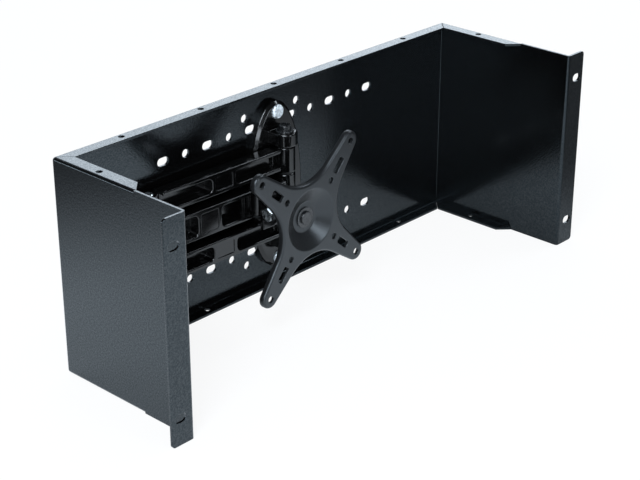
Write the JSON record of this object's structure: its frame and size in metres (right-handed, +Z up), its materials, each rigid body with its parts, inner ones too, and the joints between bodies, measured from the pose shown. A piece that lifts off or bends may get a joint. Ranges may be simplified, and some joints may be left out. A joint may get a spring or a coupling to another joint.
{
  "type": "rackmount monitor arm",
  "caption": "Folded steel rack bracket, open at the front, with a folding arm on its back panel that swings, pans, tilts and turns a cross-shaped monitor plate.",
  "frame": {"origin": "centre of the hole pattern of the rack ears, on the ears' rear face that sits on the rack rails", "axes": "+X to the right and +Z up as seen from the front of the rack, +Y into the rack; the monitor faces -Y"},
  "size_m": [0.4826, 0.1491, 0.177],
  "materials": {
    "powder_coat": "semi-gloss black powder coat with a fine texture",
    "arm_enamel": "smooth glossy black paint on castings",
    "plate_coat": "satin black powder coat",
    "black_steel": "blackened steel, satin",
    "zinc": "bright zinc plate",
    "nylon": "black nylon"
  },
  "bodies": {
    "bracket": {"rack_bracket": "powder_coat", "arm_base_plate": "arm_enamel", "base_bolts": "zinc", "base_washers": "zinc", "base_nuts": "zinc", "shoulder_pin": "black_steel", "shoulder_nut": "black_steel", "shoulder_end_washers": "black_steel", "shoulder_washers": "nylon"},
    "rear_link": {"upper_rear_arm": "arm_enamel", "lower_rear_arm": "arm_enamel", "shoulder_bushes": "nylon", "elbow_pin": "zinc", "elbow_washers": "nylon"},
    "front_link": {"front_arm": "arm_enamel", "elbow_bush": "nylon", "pan_bush": "nylon", "pan_washers": "nylon"},
    "yoke": {"head_yoke": "arm_enamel", "pan_pin": "zinc", "tilt_bolt": "zinc", "tilt_nut": "zinc", "tilt_washers": "nylon"},
    "tilt_block": {"tilt_head": "arm_enamel", "swivel_bolt": "black_steel", "swivel_washer": "black_steel", "swivel_disc": "nylon"},
    "plate": {"monitor_plate": "plate_coat"}
  },
  "joints": [
    {"name": "shoulder_swing", "type": "hinge", "parent": "bracket", "child": "rear_link", "pos_m": [0, 0.1208, 0], "axis": [0, 0, 1], "range_deg": [0, 70]},
    {"name": "elbow_fold", "type": "hinge", "parent": "rear_link", "child": "front_link", "pos_m": [-0.14391, 0.12583, 0], "axis": [0, 0, -1], "range_deg": [0, 90]},
    {"name": "head_pan", "type": "hinge", "parent": "front_link", "child": "yoke", "pos_m": [-0.03148, 0.1219, 0], "axis": [0, 0, 1], "range_deg": [-30, 35]},
    {"name": "plate_tilt", "type": "hinge", "parent": "yoke", "child": "tilt_block", "pos_m": [-0.03148, 0.0933, 0], "axis": [1, 0, 0], "range_deg": [-15, 15]},
    {"name": "plate_turn", "type": "hinge", "parent": "tilt_block", "child": "plate", "pos_m": [-0.03148, 0.0618, 0], "axis": [0, -1, 0], "continuous": true}
  ]
}
